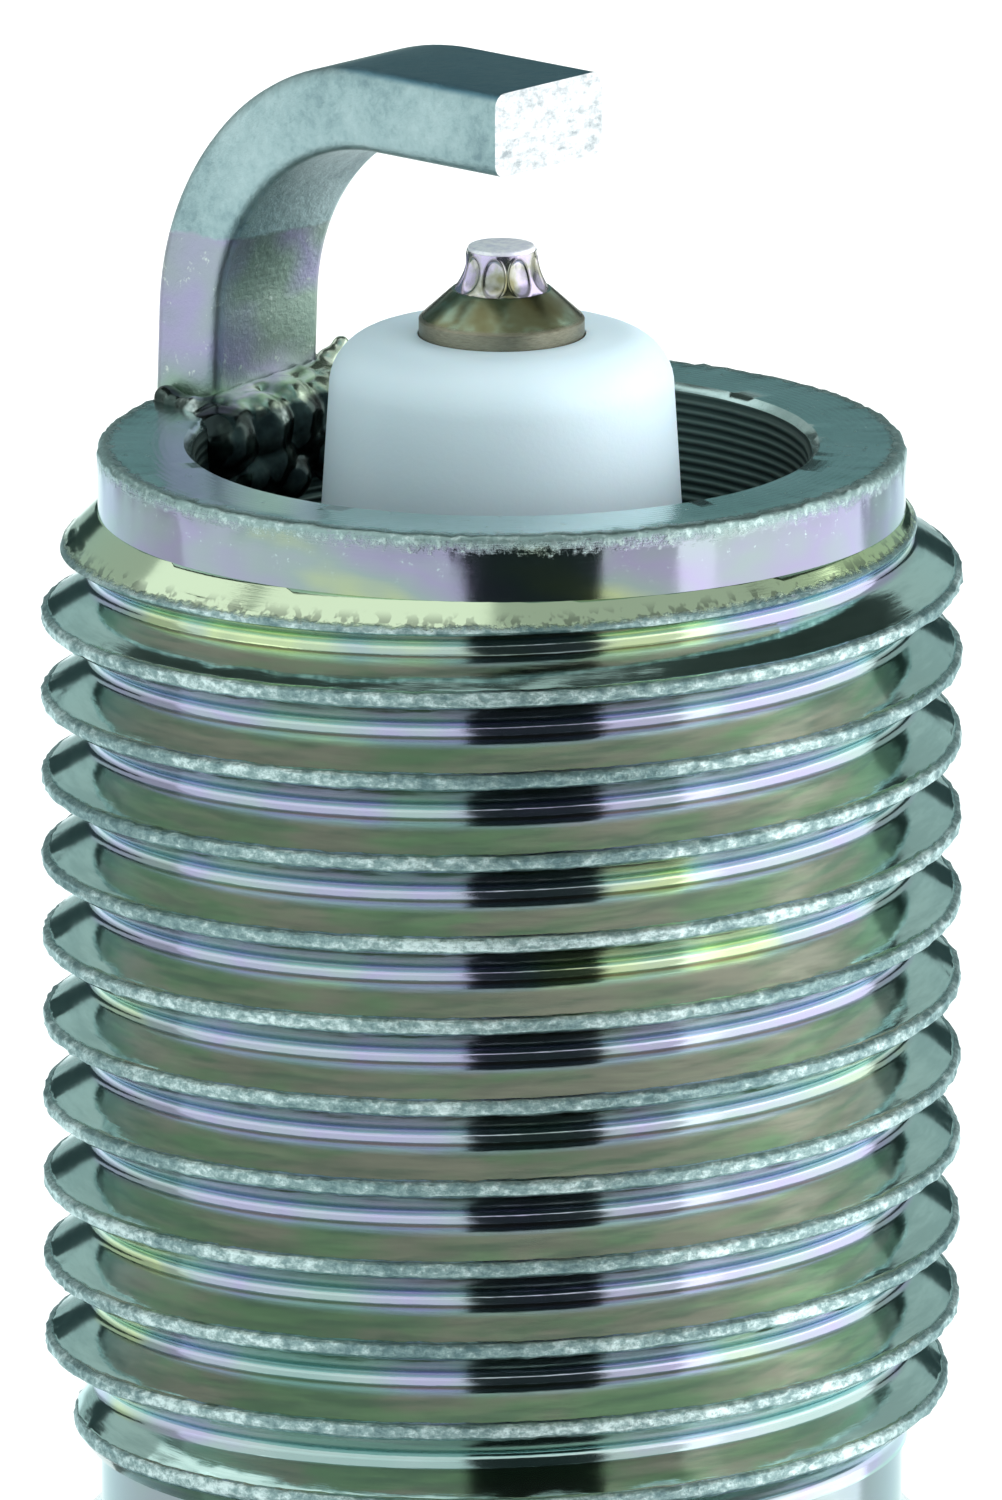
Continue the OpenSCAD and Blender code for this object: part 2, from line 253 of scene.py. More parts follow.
# bright zinc plating under a thin passivated film, whose colour drifts with its thickness
plating = {
    "grey": (0.42, 0.52, 0.51), "lavender": (0.46, 0.43, 0.62), "lime": (0.6, 0.7, 0.4),
    "teal": (0.34, 0.48, 0.46), "olive": (0.34, 0.41, 0.33),
    # painted shade: the flank that faces the head is coloured dark olive, with its streaks and
    # stains
    "flank": (0.2, 0.25, 0.15), "flankWarm": (0.3, 0.23, 0.19), "flankDark": (0.13, 0.155, 0.12),
    # painted light: the flank that faces the firing end is coloured pale
    "upper": (0.52, 0.7, 0.66), "upperDark": (0.38, 0.54, 0.51),
    # crest colours, the lightest one a painted glint
    "crestDark": (0.14, 0.23, 0.24), "crestMid": (0.3, 0.42, 0.42),
    "crestGlint": (0.72, 0.86, 0.86),
    "chamfer": (0.56, 0.7, 0.4), "chamferPale": (0.5, 0.55, 0.54),
    "frostDark": (0.3, 0.42, 0.41), "frostLight": (0.56, 0.69, 0.68),
    "shade": 0.3, "rough": 0.07,
}
thread = {
    "pitch": 1.25, "crest": 6.95, "root": 6.18, "low": 3.6, "high": shellHigh - 1.0,
    "meetAngle": 215, "flankAngle": 30, "crestFlat": 0.15, "crestRound": 0.05,
    "rootRound": 0.17, "steps": 192, "fadeLow": 1.7, "inner": 5.3, "burr": 0.03, "pilot": 6.09,
    "chamferRise": -0.2,
}


def threadTints(f, z, tint, film, patches):
    # rise: 0 in the thread's root, 1 on its crest, also where it runs out, below 0 on the chamfer
    rise = f.attribute("rise")
    # upper: 1 on the flank that faces the firing end, 0 on the one that faces the head
    upper = f.attribute("upper")
    streaks = f.grain(420, 4, 0.65, f.stretch((1, 1, 14)))
    olive = f.blend((film * 0.5 + streaks * 0.5).ramp(0.42, 0.58),
                    plating["flank"], plating["flankWarm"])
    stains = f.grain(420, 4, 0.65, f.stretch((1, 1, 34))).ramp(0.48, 0.62)
    olive = f.blend(stains * 0.6, olive, plating["flankDark"])
    bright = f.blend((film * 0.4 + streaks * 0.6).ramp(0.4, 0.62),
                     plating["upperDark"], plating["upper"])
    # painted light and shade: pale colours on the flank facing the firing end, dark olive on the
    # one facing the head
    sides = f.blend(upper, olive, bright)
    glints = f.grain(4600, 5, 0.75, f.stretch((1, 1, 1.5)))
    ledge = f.attribute("ledge")
    # upright tool marks along the chamfer's lower edge
    ticks = f.grain(5200, 2, 0.5, f.stretch((1, 1, 0.06))).ramp(0.5, 0.58)
    ticks = ticks * (1 - ledge.ramp(0.12, 0.3)) * 0.65
    chamfer = f.blend(patches.ramp(0.46, 0.62) * 0.4, plating["chamfer"], plating["chamferPale"])
    chamfer = f.blend(ticks, chamfer, plating["flankDark"])
    tint = f.blend(rise.ramp(0.04, 0.18), tint, sides)
    tint = f.blend(rise.ramp(-0.16, -0.02), chamfer, tint)
    # worn crests and the frayed ridge under the chamfer, coloured with painted glints
    ledge = ledge + (glints - 0.5) * 0.24
    cone = f.radius() + z - (thread["pilot"] + thread["high"]) * mm
    frayed = ledge.ramp(-0.12, -0.05) * (1 - ledge.ramp(0.04, 0.12))
    wornAndGlinting = rise.ramp(0.84, 0.93).most(frayed * cone.ramp(-0.13 * mm, -0.07 * mm))
    along = f.grain(330, 3, 0.6)
    # painted glints: the crests' colour runs from dark to light in grains along them
    crestGlints = f.tones(glints * 0.62 + along * 0.38, [
        (0.4, plating["crestDark"]), (0.5, plating["crestMid"]), (0.6, plating["crestGlint"])])
    return f.blend(wornAndGlinting, tint, crestGlints), wornAndGlinting, glints


def rimTints(f, z, tint, fine, scratches):
    # frosted, hammered band along the end ring's rim
    tint = f.blend(plating["shade"], tint, (0, 0, 0))
    specks = fine.ramp(0.6, 0.66) * scratches.ramp(0.4, 0.6) * 0.7
    specks = specks * z.ramp((shellHigh - 0.9) * mm, (shellHigh - 0.4) * mm)
    tint = f.blend(specks, tint, plating["frostLight"])
    rim = (z + (scratches * 0.6 + fine * 1.4 - 1) * 0.34 * mm).ramp(
        (shellHigh - 0.28) * mm, (shellHigh - 0.06) * mm)
    frost = f.blend(fine.ramp(0.48, 0.66), plating["frostDark"], plating["frostLight"])
    return f.blend(rim, tint, frost), rim


def platedSteel(name, threaded=False, calm=0.0):
    # calm takes the drifting colours back to plain grey
    f = Finish(name, Metallic=1.0, Specular_Tint=(0.8, 0.97, 1, 1))
    z = f.split()[2]
    film = f.grain(260, 3, 0.5, f.stretch((1, 1, 2.2)))
    patches = f.grain(90, 2, 0.5, f.stretch((1, 1, 3)))
    tint = f.tones(film * 0.6 + patches * 0.4, [
        (0.34, plating["teal"]), (0.43, plating["grey"]), (0.5, plating["lavender"]),
        (0.57, plating["grey"]), (0.63, plating["lime"]), (0.72, plating["olive"])])
    tint = f.blend(calm, tint, plating["grey"])
    fine = f.grain(7000, 5, 0.72)
    scratches = f.grain(1800, 4, 0.6, f.stretch((1, 1, 20)))
    rough = plating["rough"] + scratches * 0.06
    relief = scratches * 0.12
    if threaded:
        tint, wornAndGlinting, glints = threadTints(f, z, tint, film, patches)
        rough = rough + wornAndGlinting * 0.25
        relief = relief + glints * wornAndGlinting * 4
    else:
        tint, rim = rimTints(f, z, tint, fine, scratches)
        rough = rough + rim * 0.24
        relief = relief + fine * rim * 1.6
    f.colour(tint)
    f.feed("Roughness", rough)
    f.bump(relief, 0.01 * mm)
    return f.material


def endFace(name):
    # the end ring's faced-off top: nearly a mirror, with a speckled rim and a few pits
    f = Finish(name, Metallic=1.0)
    radius = f.radius()
    fine = f.grain(5000, 6, 0.7)
    broad = f.grain(500, 3, 0.5)
    rim = (radius + (fine - 0.5) * 0.5 * mm).ramp(5.85 * mm, 6.0 * mm)
    specks = f.grain(5200, 4, 0.7).ramp(0.63, 0.7) * 0.4
    shade = f.tones(broad * 0.7 + fine * 0.3, [
        (0.38, (0.32, 0.47, 0.45)), (0.6, (0.47, 0.61, 0.61))])
    frost = f.blend(fine.ramp(0.48, 0.66), plating["frostDark"], plating["frostLight"])
    f.colour(f.blend(rim.most(specks), shade, frost))
    f.feed("Roughness", 0.14 + broad * 0.1 + rim * 0.25 + specks * 0.3)
    rings = (radius * (math.tau / (0.11 * mm)) + broad * 3).wave()
    f.bump(rings * 0.04 + fine * 0.3 + fine * rim * 1.4 + specks * 0.3, 0.01 * mm)
    return f.material


def boreShadeFinish(name):
    # painted shade: the bore inside the shell is coloured near black, with the rings of its turning
    # marks
    f = Finish(name, Metallic=1.0)
    z = f.split()[2]
    broad = f.grain(400, 3, 0.5)
    marks = (z * (math.tau / (0.15 * mm)) + broad * 2).wave()
    f.colour(f.tones(broad * 0.6 + marks * 0.4, [
        (0.25, (0.05, 0.08, 0.075)), (0.75, (0.15, 0.21, 0.19))]))
    f.feed("Roughness", 0.4 + broad * 0.15)
    f.bump(marks, 0.008 * mm)
    return f.material


def strapFinish(name, plateTop, topFace):
    # plated up to plateTop, blasted grey above, with painted shade on the top face
    f = Finish(name, Metallic=1.0)
    z = f.split()[2]
    fine = f.grain(5200, 6, 0.72)
    broad = f.grain(620, 4, 0.6)
    edge = (z + broad * 0.5 * mm).ramp((plateTop + 0.21) * mm, (plateTop + 0.3) * mm)
    plated = f.tones(f.grain(420, 2, 0.5, f.stretch((1, 1, 1.2))), [
        (0.35, (0.27, 0.38, 0.32)), (0.46, (0.37, 0.35, 0.52)), (0.6, (0.33, 0.43, 0.37))])
    plated = f.blend(fine.ramp(0.6, 0.67) * 0.6, plated, (0.7, 0.78, 0.72))
    blasted = f.tones(fine * 0.4 + broad * 0.6, [
        (0.38, (0.22, 0.33, 0.36)), (0.5, (0.36, 0.5, 0.52)), (0.62, (0.46, 0.6, 0.62))])
    # painted shade: the blasted grey turns dark blue-grey in broad blotches towards the top face
    blasted = f.blend(z.ramp((topFace - 0.14) * mm, (topFace - 0.04) * mm)
                      * (0.35 + broad), blasted, (0.08, 0.21, 0.28))
    f.colour(f.blend(edge, plated, blasted))
    f.feed("Roughness", 0.28 + edge * 0.08 + fine * 0.1)
    f.bump(fine * (edge * 0.6 + 0.8) + broad * 0.8, 0.02 * mm)
    return f.material


def shearedFinish(name):
    f = Finish(name, Metallic=0.0)
    fine = f.grain(5200, 6, 0.75)
    streaks = f.grain(3400, 4, 0.7, f.stretch((1, 1, 2.6)))
    f.colour(f.tones(fine * 0.5 + streaks * 0.5, [
        (0.38, (0.27, 0.32, 0.34)), (0.48, (0.5, 0.54, 0.56)), (0.56, (0.68, 0.7, 0.71))]))
    f.feed("Roughness", 0.4 + fine * 0.2)
    f.bump(fine + streaks, 0.03 * mm)
    return f.material


def weldFinish(name, litTop):
    # burnt black and glossy below, with a painted highlight where it meets the strap
    f = Finish(name, Metallic=1.0)
    x, y, z = f.split()
    broad = f.grain(1100, 4, 0.6)
    fine = f.grain(6000, 5, 0.7)
    lit = (z + (broad - 0.5) * 0.4 * mm).ramp((litTop - 0.05) * mm, (litTop + 0.09) * mm)
    # the painted highlight stops along the strap's near side, which stays burnt
    lit = lit * (x * 0.67 + y * 0.74).ramp(-1.4 * mm, -1.1 * mm)
    burnt = f.tones(broad, [
        (0.4, (0.02, 0.03, 0.03)), (0.56, (0.07, 0.1, 0.09)), (0.66, (0.5, 0.58, 0.56))])
    # painted highlight: pale green along the ledge's top
    ledgeHighlight = f.tones(broad, [
        (0.38, (0.3, 0.4, 0.32)), (0.52, (0.62, 0.74, 0.58)), (0.62, (0.86, 0.94, 0.8))])
    f.colour(f.blend(lit, burnt, ledgeHighlight))
    f.feed("Roughness", 0.12 + broad * 0.2)
    f.bump(fine * 0.3 + broad * 0.4, 0.01 * mm)
    return f.material


def ceramicFinish(name, glazeTop):
    # bare alumina at the nose, glazed below glazeTop
    f = Finish(name, Subsurface_Weight=0.12, Subsurface_Scale=0.4 * mm, IOR=1.6)
    z = f.split()[2]
    fine = f.grain(9000, 4, 0.7)
    broad = f.grain(220, 3, 0.5)
    glaze = 1 - z.ramp((glazeTop - 1) * mm, glazeTop * mm)
    bare = f.blend(broad.ramp(0.35, 0.7), (0.58, 0.72, 0.8), (0.64, 0.77, 0.84))
    f.colour(f.blend(glaze, bare, (0.47, 0.53, 0.54)))
    f.feed("Roughness", 0.42 - glaze * 0.32 + fine * 0.06)
    f.feed("Coat Weight", glaze * 0.6)
    f.bump(fine * (1 - glaze), 0.004 * mm)
    return f.material


def nickelFinish(name, coneLow):
    # satin cylinder, shinier cone
    f = Finish(name, Metallic=1.0)
    z = f.split()[2]
    fine = f.grain(8000, 4, 0.7, f.stretch((1, 1, 6)))
    broad = f.grain(1100, 3, 0.55)
    cone = z.ramp((coneLow - 0.03) * mm, (coneLow + 0.03) * mm)
    satin = f.tones(broad * 0.5 + fine * 0.5, [
        (0.36, (0.17, 0.155, 0.11)), (0.62, (0.31, 0.3, 0.23))])
    shiny = f.tones(broad, [
        (0.38, (0.13, 0.12, 0.055)), (0.5, (0.18, 0.19, 0.11)), (0.62, (0.27, 0.36, 0.27))])
    f.colour(f.blend(cone, satin, shiny))
    f.feed("Roughness", 0.34 - cone * 0.16 + fine * 0.1)
    f.bump(fine * (1.2 - cone) + broad * 0.4, 0.005 * mm)
    return f.material


def tipWeldFinish(name):
    f = Finish(name, Metallic=1.0)
    broad = f.grain(1700, 3, 0.55)
    metal = f.tones(broad, [
        (0.38, (0.26, 0.25, 0.15)), (0.47, (0.46, 0.46, 0.42)), (0.56, (0.62, 0.54, 0.76))])
    # oval: 0 in the middle of a laser spot, 1 on its outline
    oval = f.attribute("oval")
    outline = (oval + (broad - 0.5) * 0.5).ramp(0.72, 0.95) - oval.ramp(1.02, 1.3)
    f.colour(f.blend(outline * 0.6, metal, (0.1, 0.1, 0.06)))
    f.feed("Roughness", 0.14 + broad * 0.16)
    f.bump(broad, 0.01 * mm)
    return f.material


def tipFinish(name):
    f = Finish(name, Metallic=0.5)
    fine = f.grain(7000, 4, 0.65)
    f.colour(f.tones(fine, [(0.35, (0.75, 0.75, 0.86)), (0.6, (0.97, 0.97, 1))]))
    f.feed("Roughness", 0.4 + fine * 0.2)
    f.bump(fine, 0.006 * mm)
    return f.material


def plainMetal(name, dark, light, rough=0.3):
    f = Finish(name, Metallic=1.0)
    lines = f.grain(2500, 5, 0.65, f.stretch((1, 1, 8)))
    broad = f.grain(300, 3, 0.5)
    f.colour(f.blend((lines * 0.5 + broad * 0.5).ramp(0.32, 0.68), dark, light))
    f.feed("Roughness", rough + lines * 0.12)
    f.bump(lines, 0.006 * mm)
    return f.material


def powder(name, dark, light, rough, scale, depth, metallic=0.0):
    f = Finish(name, Metallic=metallic)
    specks = f.cells(scale)
    fine = f.grain(scale * 1.7, 5, 0.7)
    f.colour(f.blend((specks * 0.5 + fine * 0.6).ramp(0.25, 0.75), dark, light))
    f.feed("Roughness", rough + fine * 0.15)
    f.bump(fine + specks, depth * mm)
    return f.material


finishes = {
    "thread": platedSteel("platedThread", threaded=True),
    "plating": platedSteel("platedSteel"),
    "head": platedSteel("platedHead", calm=0.72),
    "endFace": endFace("facedEnd"),
    "bore": boreShadeFinish("turnedBoreInShade"),
    "strap": strapFinish("blastedNickel", shellHigh + 2.6, strapHigh),
    "sheared": shearedFinish("shearedEnd"),
    "weld": weldFinish("weldFlash", shellHigh + 0.06),
    "ceramic": ceramicFinish("alumina", shellLow + 1),
    "nickel": nickelFinish("satinNickel", ceramicHigh + 0.27),
    "tipWeld": tipWeldFinish("laserWeld"),
    "tip": tipFinish("nobleTip"),
    "copper": plainMetal("copperCore", (0.5, 0.22, 0.1), (0.82, 0.46, 0.26)),
    "packing": plainMetal("softSteel", (0.3, 0.31, 0.32), (0.55, 0.56, 0.57), 0.36),
    "terminal": plainMetal("nickelPlate", (0.58, 0.6, 0.62), (0.82, 0.83, 0.84), 0.18),
    "gasket": plainMetal("platedSheet", (0.46, 0.5, 0.5), (0.72, 0.76, 0.75), 0.24),
    "talc": powder("pressedTalc", (0.78, 0.76, 0.7), (0.92, 0.91, 0.88), 0.8, 5000, 0.01),
    "glass": powder("copperGlass", (0.06, 0.12, 0.1), (0.5, 0.3, 0.18), 0.25, 3500, 0.008, 0.2),
    "resistor": powder("resistorMix", (0.03, 0.03, 0.035), (0.16, 0.16, 0.17), 0.7, 4200, 0.012),
}
print("finishes made:", len(finishes))


def threadOutline(t):
    # one turn's outline as (distance from the crest's middle, height over the root)
    depth = t["crest"] - t["root"]
    lean = t["flankAngle"]
    tip = arc(t["crestFlat"] / 2 - t["crestRound"] * math.tan(math.radians(lean)),
              depth - t["crestRound"], t["crestRound"], 90, lean, 3)
    foot = arc(t["pitch"] / 2, t["rootRound"], t["rootRound"], 180 + lean, 270, 6)
    middle = [tuple(a + (b - a) * k / 5 for a, b in zip(tip[-1], foot[0])) for k in (1, 2, 3, 4)]
    side = [(tip[0][0] / 2, depth)] + tip + middle + foot
    return [(-d, h) for d, h in reversed(side)] + side


def threadLead(t, x, y, z):
    # how far a point lies above the crest line under it, and that crest line's height there
    angle = math.atan2(y, x) - math.radians(t["meetAngle"])
    crest = shellHigh + t["pitch"] * angle / math.tau
    above = (z - crest + t["pitch"] / 2) % t["pitch"] - t["pitch"] / 2
    return above, z - above


def fade(x):
    # how high a thread stands where it runs out, 0 to 1
    x = max(0.0, min(1.0, x))
    return math.sin(x * math.pi / 2)


def sweepThread(t):
    # one turn is spun along the helix, then repeated, joined and cut to length
    bm = bmesh.new()
    turns = math.ceil((t["high"] - t["low"]) / t["pitch"]) + 3
    below = math.ceil((shellHigh - t["low"]) / t["pitch"] + 1)
    start = shellHigh - t["pitch"] * t["meetAngle"] / 360 - below * t["pitch"]
    verts = [bm.verts.new(((t["root"] + h) * mm, 0, (start + d) * mm))
             for d, h in threadOutline(t)]
    edges = [bm.edges.new(pair) for pair in zip(verts, verts[1:])]
    bmesh.ops.spin(bm, geom=verts + edges, cent=(0, 0, 0), axis=(0, 0, 1), angle=math.tau,
                   dvec=(0, 0, t["pitch"] / t["steps"] * mm), steps=t["steps"])
    oneTurn = bm.verts[:] + bm.edges[:] + bm.faces[:]
    for k in range(1, turns):
        copied = bmesh.ops.duplicate(bm, geom=oneTurn)["geom"]
        bmesh.ops.translate(bm, vec=(0, 0, k * t["pitch"] * mm),
                            verts=[g for g in copied if isinstance(g, bmesh.types.BMVert)])
    bmesh.ops.remove_doubles(bm, verts=bm.verts, dist=seamGap)
    trim(bm, t["low"], t["high"])
    return bm


def wearThread(bm, t):
    # run-out, burrs and lead-in chamfer, with the attributes that the finish reads
    rise = bm.verts.layers.float.new("rise")
    upper = bm.verts.layers.float.new("upper")
    ledge = bm.verts.layers.float.new("ledge")
    depth = t["crest"] - t["root"]
    slope = math.tan(math.radians(t["flankAngle"]))
    for v in bm.verts:
        x, y, z = v.co / mm
        above, crest = threadLead(t, x, y, z)
        height = math.hypot(x, y) - t["root"]
        v[rise] = height / depth
        v[upper] = 1.0 if above > 0 else 0.0
        v[ledge] = 1.0
        height *= fade((crest - t["low"] + 0.3) / (t["fadeLow"] * t["pitch"]))
        if v[rise] > 0.75 and t["low"] + 0.3 < z < t["high"] - 0.3:
            near = Vector((x, y, z))
            rough = noise.noise(near * 7) + 0.6 * noise.noise(near * 17)
            height += t["burr"] * (rough - 0.2)
            v.co.z += t["burr"] * 0.8 * noise.noise(near * 9 + Vector((31, 0, 0))) * mm
        # the lead-in chamfer cuts across the crests at 45 degrees
        chamfer = t["pilot"] + max(0, t["high"] - z)
        radius = t["root"] + height
        if radius > chamfer:
            radius = chamfer
            v[rise] = t["chamferRise"]
        # height of the ridge where the chamfer meets the lower flank, over the crest line
        ridge = (t["high"] - crest - t["crest"] + t["pilot"]) * slope - t["crestFlat"] / 2
        ridge /= 1 + slope
        if ridge < t["crestFlat"] / 3:
            v[ledge] = max(-1.0, min(1.0, above - ridge))
        turn(v, radius * mm)


def closeThread(bm, t):
    # flat ends in to the inner radius, and a wall between them
    rims = []
    for z in (t["low"], t["high"]):
        rim = [e for e in bm.edges
               if e.is_boundary and all(abs(v.co.z - z * mm) < 1e-6 for v in e.verts)]
        made = bmesh.ops.extrude_edge_only(bm, edges=rim)["geom"]
        for v in made:
            if isinstance(v, bmesh.types.BMVert):
                turn(v, t["inner"] * mm)
        rims += [e for e in made if isinstance(e, bmesh.types.BMEdge) and e.is_boundary]
    bmesh.ops.bridge_loops(bm, edges=rims)


def makeThread(t):
    bm = sweepThread(t)
    wearThread(bm, t)
    closeThread(bm, t)
    return piece(
        bm, "shellThread", "plug", ["shell"], [finishes["thread"]], sharp=50)


ring = {
    "bore": 4.62, "outerRound": 0.12, "innerChamfer": 0.17, "steps": 256,
    "shelfTop": 9.0, "seat": 7.0, "shelf": 3.75, "coneEnd": 6.0, "coreBore": 4.75,
    "rimStart": 5.85, "rimHeave": 0.03, "rimDents": 0.035, "lipEnd": 4.9, "lipDents": 0.01,
}


def makeEndRing(r):
    bm = bmesh.new()
    pilot, bore, chamfer = thread["pilot"], r["bore"], r["innerChamfer"]
    lathe(bm, [(thread["inner"], thread["high"]), (pilot, thread["high"]),
               (pilot, shellHigh - 0.5)]
          + arc(pilot - r["outerRound"], shellHigh - r["outerRound"], r["outerRound"], 0, 90, 6)
          + [(5.6, shellHigh), (5.2, shellHigh), (bore + chamfer, shellHigh),
             (bore + chamfer * 0.3, shellHigh - chamfer * 0.6),
             (bore, shellHigh - chamfer * 1.4),
             (bore, r["shelfTop"] + bore - r["shelf"]), (r["shelf"], r["shelfTop"]),
             (r["shelf"], r["seat"]), (r["coreBore"], r["coneEnd"]),
             (r["coreBore"], thread["low"]), (thread["inner"], thread["low"])], r["steps"])
    # hammered, burred rims
    for v in bm.verts:
        here = v.co / mm
        radius = math.hypot(here.x, here.y)
        if here.z > shellHigh - 0.25 and radius > r["rimStart"]:
            v.co.z += r["rimHeave"] * noise.noise(here * 6) * mm
            turn(v, (radius + r["rimDents"] * noise.noise(here * 5 + Vector((9, 0, 0)))) * mm)
        elif here.z > shellHigh - 0.3 and radius < r["lipEnd"]:
            turn(v, (radius + r["lipDents"] * noise.noise(here * 2 + Vector((0, 5, 0)))) * mm)
    made = piece(bm, "shellEndRing", "plug", ["shell"],
                 [finishes["plating"], finishes["endFace"], finishes["bore"]], sharp=40)
    for face in made.data.polygons:
        centre = face.center / mm
        radius = math.hypot(centre.x, centre.y)
        if centre.z > shellHigh - 0.12 and radius < 6.0:
            face.material_index = 1
        elif radius < r["coreBore"] + 0.05:
            face.material_index = 2
    return made


head = {
    "neckTop": 2.3, "neck": 6.17, "land": 6.75,
    "flange": 9.5, "flangeTop": gasketLow, "flangeHeight": 3.6,
    "flangeRound": 0.35, "groove": 7.9, "grooveHeight": 1.0, "hexFlats": 16.0, "hexHeight": 8.4,
    "counter": 6.1, "counterTop": -5.0, "crimpWall": 1.1, "lip": 5.4, "lipHeight": 0.85,
    "grooveRound": 0.3, "bevelAngle": 30, "bevelSteps": 8, "steps": 240,
}


def makeShellHead(h):
    flangeLow = h["flangeTop"] - h["flangeHeight"]
    hexTop = flangeLow - h["grooveHeight"]
    hexLow = hexTop - h["hexHeight"]
    corner = h["hexFlats"] / 2 / math.cos(math.radians(30))
    crimp = h["counter"] + h["crimpWall"]
    rollHeight = shellLow + h["crimpWall"]
    chamfer = corner - h["hexFlats"] / 2 + 0.25
    rise = chamfer * math.tan(math.radians(h["bevelAngle"]))
    flangeIn = h["flange"] - h["flangeRound"]
    count = h["bevelSteps"]
    bevel = [(corner - chamfer * (1 - k / count), rise * k / count) for k in range(count + 1)]
    # a close extra row keeps the bevel's smooth normals off the flats
    bevel.append((corner, rise + 0.05))
    groove = h["groove"] + h["grooveRound"]
    outline = ([(thread["inner"], thread["low"]), (thread["pilot"], thread["low"]),
                (thread["pilot"], h["neckTop"] + 0.15), (h["neck"], h["neckTop"]),
                (h["land"], h["neckTop"] - 0.6), (h["land"], h["flangeTop"])]
               + arc(flangeIn, h["flangeTop"] - h["flangeRound"], h["flangeRound"], 90, 0, 5)
               + arc(flangeIn, flangeLow + h["flangeRound"], h["flangeRound"], 0, -90, 5)
               + arc(groove, flangeLow - h["grooveRound"], h["grooveRound"], 90, 180, 4)
               + arc(groove, hexTop + h["grooveRound"], h["grooveRound"], 180, 240, 4)
               + [(r, hexTop - z) for r, z in bevel]
               + [(r, hexLow + z) for r, z in reversed(bevel)]
               + [(crimp, hexLow)] + arc(h["counter"], rollHeight, h["crimpWall"], 0, -90, 8)
               + [(h["lip"] + 0.1, shellLow), (h["lip"], shellLow + 0.1),
                  (h["lip"], shellLow + h["lipHeight"]),
                  (h["counter"], shellLow + h["lipHeight"]), (h["counter"], h["counterTop"]),
                  (ring["coreBore"], h["counterTop"]), (ring["coreBore"], thread["low"])])
    bm = bmesh.new()
    lathe(bm, outline, h["steps"])
    for v in bm.verts:
        x, y, z = v.co / mm
        radius = math.hypot(x, y)
        # the turned hexagon blank is cut back to its six flats
        if hexLow - 0.01 < z < hexTop + 0.01 and radius > crimp + 0.05:
            turned = (math.degrees(math.atan2(y, x)) + 30) % 60 - 30
            flat = h["hexFlats"] / 2 / math.cos(math.radians(turned))
            if radius > flat:
                turn(v, flat * mm)
    return piece(bm, "shellHead", "plug", ["shell"], [finishes["head"]], sharp=28)


makeThread(thread)
makeEndRing(ring)
makeShellHead(head)
print("shell made")


strap = {
    "angle": 138, "width": 2.4, "thickness": 1.28, "outer": 6.02, "bend": 3.0, "past": 0.83,
    "round": 0.2, "legSteps": 10, "bendSteps": 40, "armSteps": 10, "lean": 0.17, "leanHeight": 4.2,
}


def strapFrame(s):
    # the strap is drawn with its foot at negative x and its arm towards the axis, then turned
    return Matrix.Rotation(math.radians(s["angle"] + 180), 4, "Z")


def makeStrap(s):
    bm = bmesh.new()
    inner = -s["outer"] + s["thickness"]
    half = s["width"] / 2
    corners = [bm.verts.new((x * mm, y * mm, shellHigh * mm)) for x, y in (
        (-s["outer"], -half), (inner, -half), (inner, half), (-s["outer"], half))]
    foot = bm.faces.new(corners)
    bmesh.ops.bevel(bm, geom=corners, offset=s["round"] * mm, segments=4, profile=0.5,
                    affect="VERTICES", material=-1)
    bendS = -s["outer"] + s["bend"] + s["thickness"]
    bendZ = strapHigh - s["bend"] - s["thickness"]
    front = bm.faces[:]

    def grow(steps, move):
        nonlocal front
        for _ in range(steps):
            made = bmesh.ops.extrude_face_region(
                bm, geom=front, use_keep_orig=(front[0] is foot))["geom"]
            front = [g for g in made if isinstance(g, bmesh.types.BMFace)]
            move([g for g in made if isinstance(g, bmesh.types.BMVert)])

    grow(s["legSteps"], lambda verts: bmesh.ops.translate(
        bm, vec=(0, 0, (bendZ - shellHigh) * mm / s["legSteps"]), verts=verts))
    grow(s["bendSteps"], lambda verts: bmesh.ops.rotate(
        bm, cent=(bendS * mm, 0, bendZ * mm), verts=verts,
        matrix=Matrix.Rotation(math.radians(90 / s["bendSteps"]), 3, "Y")))
    grow(s["armSteps"], lambda verts: bmesh.ops.translate(
        bm, vec=((s["past"] - bendS) * mm / s["armSteps"], 0, 0), verts=verts))
    for face in front:
        face.material_index = 1
    # the leg leans inwards a little
    for v in bm.verts:
        share = min(1, (v.co.z / mm - shellHigh) / s["leanHeight"])
        v.co.x += s["lean"] * (share - 0.3) * mm
    bm.transform(strapFrame(s))
    return piece(bm, "groundStrap", "plug", ["ground_electrode"],
                 [finishes["strap"], finishes["sheared"]], sharp=40)


flash = {
    "voxel": 0.045, "lumpy": 0.14, "melt": 18,
    # each run of beads: count, from (x, y, z), to (x, y, z), bead radius, scatter
    "ledge": (40, (-4.72, -1.35, 0.04), (-4.7, 1.3, 0.2), (0.17, 0.19), 0.01),
    "mass": (14, (-4.42, -1.5, -0.4), (-4.36, 1.5, -0.28), (0.42, 0.58), 0.1),
    "drip": (11, (-4.4, -1.5, -1.1), (-4.4, 1.5, -1.0), (0.34, 0.5), 0.2),
    "leftSide": (9, (-5.6, -1.3, 0.0), (-4.5, -1.6, -0.12), (0.16, 0.28), 0.09),
    "rightSide": (8, (-5.4, 1.25, 0.0), (-4.75, 1.42, 0.2), (0.18, 0.26), 0.07),
    "curl": (5, (-4.84, 1.4, 0.2), (-4.72, 1.6, 0.5), (0.15, 0.2), 0.03),
    "outer": (7, (-5.84, -1.25, -0.16), (-5.84, 0.9, -0.14), (0.18, 0.24), 0.03),
}


